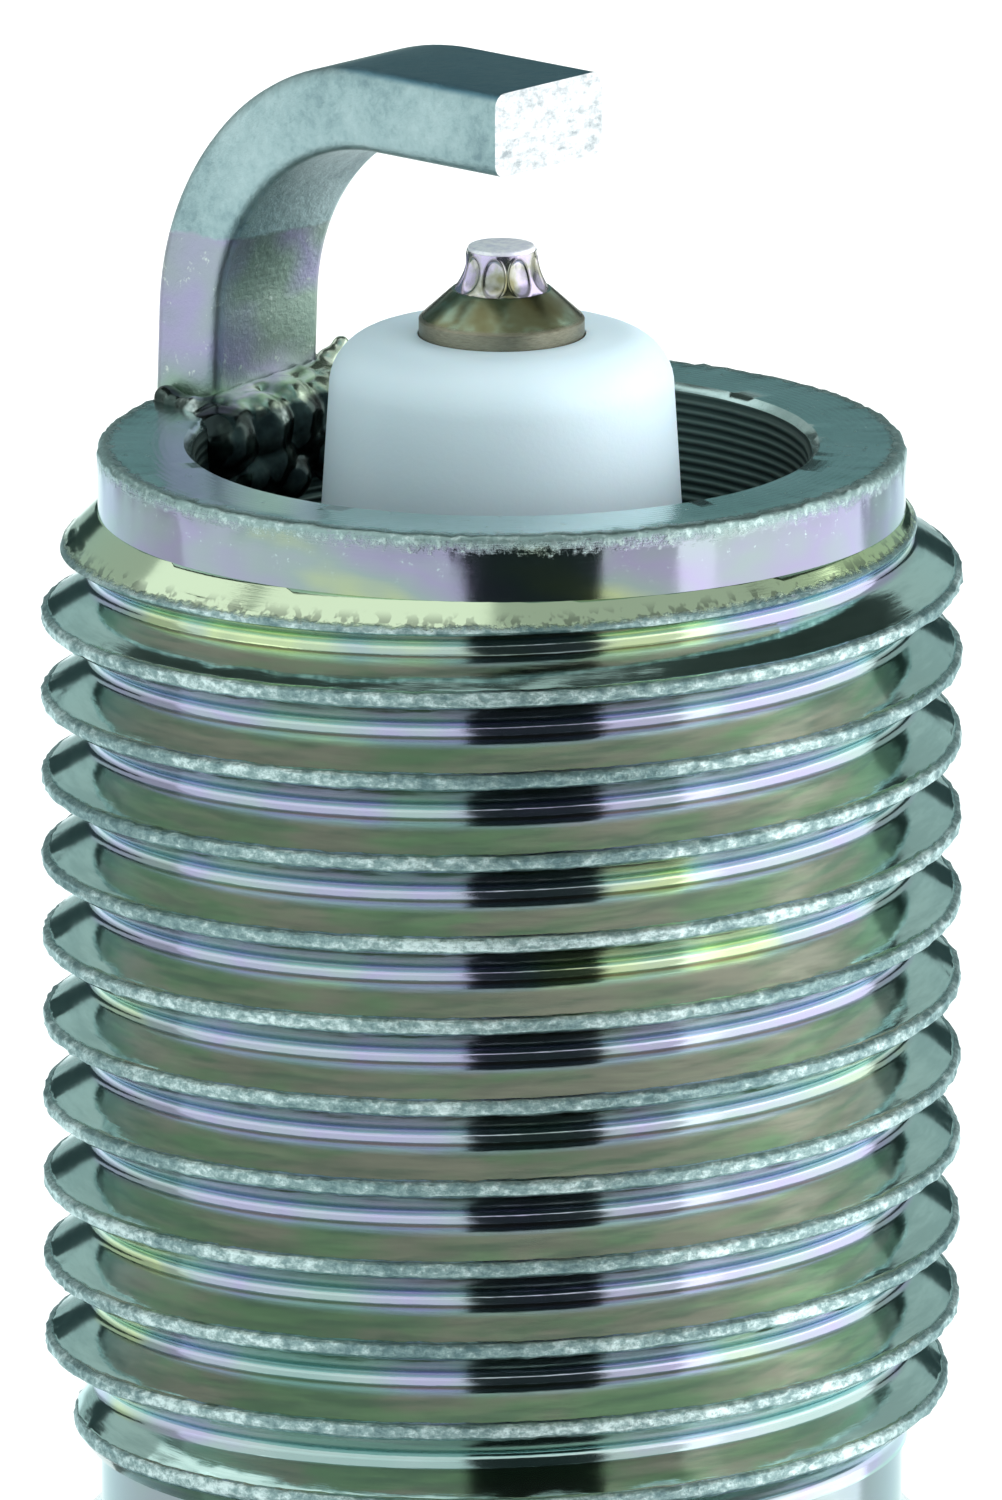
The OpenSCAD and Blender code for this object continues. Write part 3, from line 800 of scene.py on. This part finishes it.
def makeFlash(f, s):
    # beads of squeezed-out metal round the strap's foot, joined by a voxel remesh
    bm = bmesh.new()
    rng = random.Random(seed)
    for run in ("ledge", "mass", "drip", "leftSide", "rightSide", "curl", "outer"):
        count, first, last, size, scatter = f[run]
        for k in range(count):
            made = bmesh.ops.create_icosphere(
                bm, subdivisions=3, radius=rng.uniform(*size) * mm)["verts"]
            for v in made:
                v.co += v.co * noise.noise(v.co / mm * 4 + Vector((k, 0, count))) * f["lumpy"]
            spot = Vector(first).lerp(Vector(last), k / (count - 1))
            spot += Vector([rng.uniform(-scatter, scatter) for _ in range(3)])
            bmesh.ops.translate(bm, vec=(spot + Vector((0, 0, shellHigh))) * mm, verts=made)
    bm.transform(strapFrame(s))
    made = piece(bm, "weldFlash", "plug", ["ground_weld_flash"], [finishes["weld"]])
    fuse = made.modifiers.new("fuse", "REMESH")
    fuse.mode = "VOXEL"
    fuse.voxel_size = f["voxel"] * mm
    fuse.use_smooth_shade = True
    melt = made.modifiers.new("melt", "SMOOTH")
    melt.factor = 0.5
    melt.iterations = f["melt"]
    return made


makeStrap(strap)
makeFlash(flash, strap)
print("ground electrode made")


ceramic = {
    "noseRound": 0.8, "nose": 2.6, "noseLow": 2.72, "noseRoot": 3.3, "core": 4.55, "collar": 5.9,
    "collarTop": -5.0, "collarLength": 4.6, "barrel": 5.2, "endRound": 0.9, "smallBore": 1.265,
    "largeBore": 2.0, "boreStep": -4.8, "seat": 7.0, "packing": 0.55, "shelf": 3.75,
    "ribPitch": 3.5, "ribFirst": 3.6, "ribs": 5, "ribCut": 1.5, "ribDepth": 0.6, "steps": 192,
}


def makeInsulator(c):
    collarLow = c["collarTop"] - (c["collar"] - c["core"]) - c["collarLength"]
    seat = c["seat"] - c["packing"] + c["shelf"]
    barrelTop = collarLow - (c["collar"] - c["barrel"]) / 0.7
    grooves = []
    cutX = c["barrel"] + c["ribCut"] - c["ribDepth"]
    spread = math.degrees(math.acos((c["ribCut"] - c["ribDepth"]) / c["ribCut"]))
    for i in reversed(range(c["ribs"])):
        z = ceramicLow + c["ribFirst"] + i * c["ribPitch"]
        grooves += arc(cutX, z, c["ribCut"], 180 - spread, 180 + spread, 10)
    outline = (arc(c["nose"] - c["noseRound"], ceramicHigh - c["noseRound"],
                   c["noseRound"], 90, 0, 12)
               + [(c["noseLow"], shellHigh - 1), (c["noseRoot"], c["seat"] + 1),
                  (c["noseRoot"], seat - c["noseRoot"]), (c["core"], seat - c["core"]),
                  (c["core"], c["collarTop"]),
                  (c["collar"], c["collarTop"] - c["collar"] + c["core"]),
                  (c["collar"], collarLow), (c["barrel"], barrelTop)]
               + grooves
               + arc(c["barrel"] - c["endRound"], ceramicLow + c["endRound"],
                     c["endRound"], 0, -90, 10)
               + [(c["largeBore"] + 0.15, ceramicLow), (c["largeBore"], ceramicLow + 0.15),
                  (c["largeBore"], c["boreStep"]), (c["smallBore"], c["boreStep"]),
                  (c["smallBore"], ceramicHigh - 0.01), (c["smallBore"] + 0.01, ceramicHigh)])
    bm = bmesh.new()
    lathe(bm, outline, c["steps"])
    return piece(
        bm, "insulatorBody", "plug", ["insulator"], [finishes["ceramic"]], sharp=32)


makeInsulator(ceramic)
print("insulator made")


electrode = {
    "radius": 1.25, "head": 1.85, "headTop": -4.8, "headHeight": 1.2, "stem": 1.0,
    "stemLength": 1.5, "core": 0.62, "coreTop": shellHigh - 1, "coneLow": ceramicHigh + 0.27,
    "coneHeight": 0.42, "coneTop": 0.75, "socket": 0.53, "socketDepth": 0.7, "steps": 128,
}
tip = {"radius": 0.51, "bevel": 0.05, "steps": 96}
tipWeld = {
    "foot": 0.7, "head": 0.525, "height": 0.6, "flare": 2.1, "spots": 9, "turn": 0.05,
    "spotWidth": 0.42, "spotMiddle": 0.46, "depth": 0.034, "rim": 0.014,
    "rimAt": 1.05, "rimWidth": 0.2, "steps": 360, "rows": 32,
}


def makeElectrode(e):
    coneTop = e["coneLow"] + e["coneHeight"]
    headLow = e["headTop"] - e["headHeight"]
    bm = bmesh.new()
    stemLow = headLow - e["stemLength"]
    socketLow = coneTop - e["socketDepth"]
    lathe(bm, [(0, e["coreTop"]), (e["core"], e["coreTop"]), (e["core"], stemLow),
               (e["stem"], stemLow), (e["stem"], headLow), (e["head"], headLow),
               (e["head"], e["headTop"]), (e["radius"], e["headTop"]),
               (e["radius"], e["coneLow"] - 0.04), (e["radius"] - 0.03, e["coneLow"]),
               (e["coneTop"] + 0.04, coneTop - 0.03), (e["coneTop"], coneTop),
               (e["socket"], coneTop), (e["socket"], socketLow), (0, socketLow)],
          e["steps"], closed=False)
    return piece(bm, "nickelElectrode", "plug", ["center_electrode"],
                 [finishes["nickel"]], sharp=30)


def makeTip(t):
    bm = bmesh.new()
    lathe(bm, [(0, tipLow), (t["radius"], tipLow)]
          + arc(t["radius"] - t["bevel"], tipHigh - t["bevel"], t["bevel"], 0, 90, 5)
          + [(0, tipHigh)], t["steps"], closed=False)
    return piece(bm, "firingTip", "plug", ["firing_tip"], [finishes["tip"]], sharp=30)


def makeTipWeld(w):
    # a flared collar with a ring of upright oval laser spots, each a dish with a raised rim
    low = electrode["coneLow"] + electrode["coneHeight"]
    outline = [(tip["radius"] + 0.005, low), (w["foot"] + 0.01, low)]
    for k in range(1, w["rows"] + 1):
        share = k / w["rows"]
        outline.append((w["head"] + (w["foot"] - w["head"]) * (1 - share) ** w["flare"],
                        low + w["height"] * share))
    outline.append((tip["radius"] + 0.005, low + w["height"]))
    bm = bmesh.new()
    lathe(bm, outline, w["steps"])
    oval = bm.verts.layers.float.new("oval")
    for v in bm.verts:
        x, y, z = v.co / mm
        radius = math.hypot(x, y)
        share = (z - low) / w["height"]
        turned = math.atan2(y, x) / math.tau * w["spots"] + w["turn"]
        across = (turned % 1 - 0.5) / w["spotWidth"]
        up = (share - w["spotMiddle"]) / w["spotMiddle"]
        spot = across * across + up * up
        v[oval] = spot
        if radius < tip["radius"] + 0.01 or not 0.01 < share < 0.99:
            continue
        dish = w["depth"] * max(0.0, 1 - spot)
        rim = w["rim"] * math.exp(-((spot - w["rimAt"]) / w["rimWidth"]) ** 2)
        turn(v, max(tip["radius"] + 0.008, radius - dish + rim) * mm)
    return piece(bm, "tipWeld", "plug", ["tip_weld_ring"],
                 [finishes["tipWeld"]], sharp=60)


makeElectrode(electrode)
makeTip(tip)
makeTipWeld(tipWeld)
print("centre electrode made")


washer = {"inner": 6.85, "outer": 9.5, "sheet": 0.5, "slit": 0.14, "steps": 200}


def makeGasket(w):
    # one sheet folded three deep: a snaking line, thickened to either side
    half = w["sheet"] / 2
    levels = [gasketHigh - half, (gasketHigh + gasketLow) / 2, gasketLow + half]
    gap = (levels[0] - levels[1]) / 2
    left, right = w["inner"] + half + gap, w["outer"] - half - gap
    middle = [(w["inner"] + half, levels[0] - 0.02), (left + 0.1, levels[0])]
    middle += [(right - 0.3, levels[0])] + arc(right, levels[0] - gap, gap, 90, -90, 8)
    middle += [(right - 0.3, levels[1])] + arc(left, levels[1] - gap, gap, 90, 270, 8)
    middle += [(left + 0.3, levels[2]), (w["outer"] - half - 0.1, levels[2])]
    front, back = [], []
    for k, (x, z) in enumerate(middle):
        ax, az = middle[max(0, k - 1)]
        bx, bz = middle[min(len(middle) - 1, k + 1)]
        length = math.hypot(bx - ax, bz - az)
        nx, nz = -(bz - az) / length, (bx - ax) / length
        # the folded layers leave a slit between them, the free ends keep the full sheet
        folded = 2 <= k < len(middle) - 2
        thick = min(half, gap - w["slit"] / 2) if folded else half
        front.append((x + nx * thick, z + nz * thick))
        back.append((x - nx * thick, z - nz * thick))
    bm = bmesh.new()
    lathe(bm, front + back[::-1], w["steps"])
    return piece(
        bm, "foldedGasket", "washer", ["gasket"], [finishes["gasket"]], sharp=35)


makeGasket(washer)
print("gasket made")


terminal = {
    "collar": 3.4, "collarHeight": 0.8, "waist": 2.45, "waistHeight": 2.4, "barrel": 3.15,
    "round": 0.5, "edge": 0.15, "fillet": 0.35, "shoulder": 0.2, "bore": 2.05, "boreEnd": 1.2,
    "steps": 160,
}
stud = {
    "shaft": 1.75, "flange": 3.0, "flangeHeight": 0.6, "flangeRound": 0.1, "top": -20.5,
    "crest": 1.96, "depth": 0.43, "pitch": 0.7, "low": -48.7, "runOut": 0.4, "steps": 72,
    "grip": 0.8, "grips": 3, "gripDepth": 0.2, "shaftSteps": 96,
}


def makeNut(n):
    waistTop = nutHigh - n["collarHeight"]
    waistLow = waistTop - n["waistHeight"]
    rim = n["collar"] - n["edge"]
    waist = n["waist"] + n["fillet"]
    outline = ([(n["bore"] + 0.2, nutHigh), (n["collar"] - 0.2, nutHigh)]
               + arc(rim, nutHigh - n["edge"], n["edge"], 90, 0, 4)
               + arc(rim, waistTop + n["edge"], n["edge"], 0, -90, 4)
               + arc(waist, waistTop - 0.4, n["fillet"], 90, 180, 6)
               + arc(waist, waistLow + 0.05, n["fillet"], 180, 240, 5)
               + [(n["barrel"] - 0.1, waistLow - 0.3)]
               + arc(n["barrel"] - n["shoulder"], waistLow - 0.55, n["shoulder"], 60, 0, 4)
               + arc(n["barrel"] - n["round"], nutLow + n["round"], n["round"], 0, -90, 10)
               + [(0, nutLow)])
    inside = [(0, nutLow + n["boreEnd"] - 0.3), (n["bore"] - 0.3, nutLow + n["boreEnd"] - 0.3),
              (n["bore"], nutLow + n["boreEnd"]), (n["bore"], nutHigh - 0.2)]
    bm = bmesh.new()
    lathe(bm, inside + outline, n["steps"], closed=False)
    return piece(bm, "terminalNut", "nut", ["terminal_nut"],
                 [finishes["terminal"]], sharp=30)


def makeShaft(s, root, flangeLow, threadTop):
    # shaft, grip grooves and flange, and the neck that the threaded end starts from
    edge = s["flangeRound"]
    inner = s["shaft"] - s["gripDepth"]
    grooves = []
    for k in range(s["grips"]):
        z = s["top"] - (k + 0.6) * s["grip"]
        grooves += [(s["shaft"], z), (inner, z - 0.06), (inner, z - 0.24), (s["shaft"], z - 0.3)]
    bm = bmesh.new()
    lathe(bm, [(0, s["top"]), (s["shaft"] - 0.15, s["top"]), (s["shaft"], s["top"] - 0.15)]
          + grooves + [(s["shaft"], ceramicLow)]
          + arc(s["flange"] - edge, ceramicLow - edge, edge, 90, 0, 3)
          + arc(s["flange"] - edge, flangeLow + edge, edge, 0, -90, 3)
          + [(root - 0.06, flangeLow), (root - 0.06, threadTop), (0, threadTop)],
          s["shaftSteps"], closed=False)
    return piece(bm, "terminalStud", "plug", ["terminal_stud"],
                 [finishes["terminal"]], sharp=30)


def makeStudThread(s, root, threadTop):
    bm = bmesh.new()
    turns = math.ceil((threadTop - s["low"]) / s["pitch"]) + 2
    start = s["low"] - s["pitch"]
    rise = s["depth"] * math.tan(math.radians(thread["flankAngle"]))
    valley = (s["pitch"] / 2 - rise) * 0.45
    shape = [(0, 0), (valley, 0), (valley + rise, s["depth"]),
             (s["pitch"] - valley - rise, s["depth"]), (s["pitch"] - valley, 0), (s["pitch"], 0)]
    verts = [bm.verts.new(((root + h) * mm, 0, (start + d) * mm)) for d, h in shape]
    edges = [bm.edges.new(pair) for pair in zip(verts, verts[1:])]
    bmesh.ops.spin(bm, geom=verts + edges, cent=(0, 0, 0), axis=(0, 0, 1),
                   angle=math.tau * turns, dvec=(0, 0, s["pitch"] / s["steps"] * mm),
                   steps=s["steps"] * turns)
    bmesh.ops.remove_doubles(bm, verts=bm.verts, dist=seamGap)
    trim(bm, s["low"], threadTop)
    for v in bm.verts:
        x, y, z = v.co / mm
        inside = min(z - s["low"], threadTop - z)
        height = (math.hypot(x, y) - root) * fade(inside / (s["pitch"] * 1.2))
        turn(v, (root + height) * mm)
    bmesh.ops.holes_fill(bm, edges=[e for e in bm.edges if e.is_boundary], sides=0)
    return piece(bm, "studThread", "plug", ["terminal_stud"],
                 [finishes["terminal"]], sharp=40)


def makeStud(s):
    flangeLow = ceramicLow - s["flangeHeight"]
    threadTop = flangeLow - s["runOut"]
    root = s["crest"] - s["depth"]
    makeShaft(s, root, flangeLow, threadTop)
    makeStudThread(s, root, threadTop)


makeNut(terminal)
makeStud(stud)
print("terminal made")


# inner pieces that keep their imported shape, with their finish
keptShapes = {
    "copper_core": "copper", "seat_packing": "packing", "lower_wire_ring": "packing",
    "upper_wire_ring": "packing", "talc_ring": "talc", "lower_glass_seal": "glass",
    "upper_glass_seal": "glass", "resistor": "resistor",
}
for node, finish in keptShapes.items():
    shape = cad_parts[node]
    shape.data.materials.clear()
    shape.data.materials.append(finishes[finish])
print("inner pieces finished:", len(keptShapes))


studio = {
    "drop": 9.4, "floor": (0.93, 0.93, 0.93), "floorSize": 3, "world": 0.6,
    "worldTint": (0.86, 0.96, 0.93), "distance": 0.38, "elevation": 14.0, "sensor": 36,
    "frameHeight": 22.66, "aimZ": 14.22, "aimX": -0.01, "panelTop": 0.16,
}
# azimuth, distance, width, brightness, colour, seen in reflections
panels = {
    "softLeft": (-52, 0.16, 0.38, 0.46, (0.88, 0.98, 1), True),
    "softRight": (42, 0.16, 0.12, 0.42, (1, 1, 1), True),
    "sideRight": (88, 0.16, 0.24, 1.1, (1, 1, 1), True),
    "keyRight": (80, 0.2, 0.24, 2.9, (1, 0.96, 0.98), False),
}
# place, width and depth, brightness, seen in reflections
washes = {
    "backWash": ((0, 0.4, 0.3), (0.36, 0.4), 3.4, False),
    "softTop": ((-0.14, -0.08, 0.35), (0.26, 0.26), 0.68, True),
    "softTopLeft": ((-0.42, 0.1, 0.35), (0.3, 0.5), 0.72, True),
}


def makeCamera(s):
    tilt = math.radians(s["elevation"])
    aim = Vector((s["aimX"] * mm, 0, s["aimZ"] * mm))
    data = bpy.data.cameras.new("view")
    data.sensor_fit = "VERTICAL"
    data.sensor_height = s["sensor"]
    data.lens = s["sensor"] * s["distance"] / (s["frameHeight"] * mm)
    data.clip_start = 0.01
    made = newObject("view", data)
    made.location = aim + Vector((0, -math.cos(tilt), math.sin(tilt))) * s["distance"]
    made.rotation_euler = (math.pi / 2 - tilt, 0, 0)
    bpy.context.scene.camera = made


def aside(azimuth, distance, height):
    # azimuth 0 is towards the camera, positive to its right
    turned = math.radians(azimuth)
    return (math.sin(turned) * distance, -math.cos(turned) * distance, height)


def softBox(name, width, height, brightness, glossy):
    # a rectangular light that the camera doesn't see, as bright whatever its size
    data = bpy.data.lights.new(name, "AREA")
    data.shape = "RECTANGLE"
    data.size = width
    data.size_y = height
    data.energy = brightness * math.pi * width * height
    made = newObject(name, data)
    made.visible_camera = False
    made.visible_glossy = glossy
    return made


def card(name, azimuth, distance, width, low, high, shade):
    # an upright sheet that shows only in reflections
    bm = bmesh.new()
    bmesh.ops.create_grid(bm, x_segments=1, y_segments=1, size=0.5)
    bmesh.ops.scale(bm, vec=(width, high - low, 1), verts=bm.verts)
    for angle, axis in ((math.pi / 2, "X"), (math.radians(azimuth), "Z")):
        bmesh.ops.rotate(
            bm, cent=(0, 0, 0), matrix=Matrix.Rotation(angle, 3, axis), verts=bm.verts)
    bmesh.ops.translate(bm, vec=aside(azimuth, distance, (low + high) / 2), verts=bm.verts)
    mesh = newMesh(bm, name)
    mesh.materials.append(Finish(name + "Paint", Base_Color=(*shade, 1), Roughness=1.0).material)
    made = newObject(name, mesh)
    made.visible_camera = False
    made.visible_shadow = False
    made.visible_diffuse = False
    return made


def makeFloor(s, floorZ):
    bm = bmesh.new()
    bmesh.ops.create_grid(bm, x_segments=1, y_segments=1, size=s["floorSize"])
    bmesh.ops.translate(bm, vec=(0, 0, floorZ), verts=bm.verts)
    mesh = newMesh(bm, "floor")
    mesh.materials.append(Finish("floorPaint", Base_Color=(*s["floor"], 1), Roughness=0.9).material)
    floor = newObject("floor", mesh)


def makeWorld(s):
    world = bpy.data.worlds.new("room")
    world.use_nodes = True
    back = world.node_tree.nodes["Background"]
    back.inputs[0].default_value = (*s["worldTint"], 1)
    back.inputs[1].default_value = s["world"]
    bpy.context.scene.world = world


def makeLights(s, floorZ):
    for name, (azimuth, distance, width, brightness, colour, glossy) in panels.items():
        made = softBox(name, width, s["panelTop"] - floorZ, brightness, glossy)
        made.data.color = colour
        made.location = aside(azimuth, distance, (floorZ + s["panelTop"]) / 2)
        made.rotation_euler = (math.pi / 2, 0, math.radians(azimuth))
    # azimuth, distance, width, lower and upper edge, shade
    card("darkGap", 9, 0.12, 0.082, floorZ + 0.001, s["panelTop"], (0.01, 0.018, 0.018))
    card("darkBack", 180, 0.26, 0.9, 0.018, 0.066, (0.02, 0.035, 0.035))
    card("greyBack", 180, 0.262, 0.085, 0.066, 0.14, (0.16, 0.27, 0.28))
    for name, (place, size, brightness, glossy) in washes.items():
        softBox(name, *size, brightness, glossy).location = place
    # a dark sheet laid flat over the plug, for what faces up to reflect
    roof = card("darkTop", 180, 0.0, 0.56, 0.0, 0.47, (0.03, 0.04, 0.035))
    roof.rotation_euler = (-math.pi / 2, 0, 0)
    roof.location = (0, 0.08, 0.36)


def makeStudio(s):
    # the floor is low enough for the terminal nut to come off downwards
    floorZ = cadBox[0][2] - s["drop"] * mm
    makeFloor(s, floorZ)
    makeWorld(s)
    makeLights(s, floorZ)
    bpy.context.scene.view_settings.view_transform = "Standard"


makeCamera(studio)
makeStudio(studio)
print("studio made")
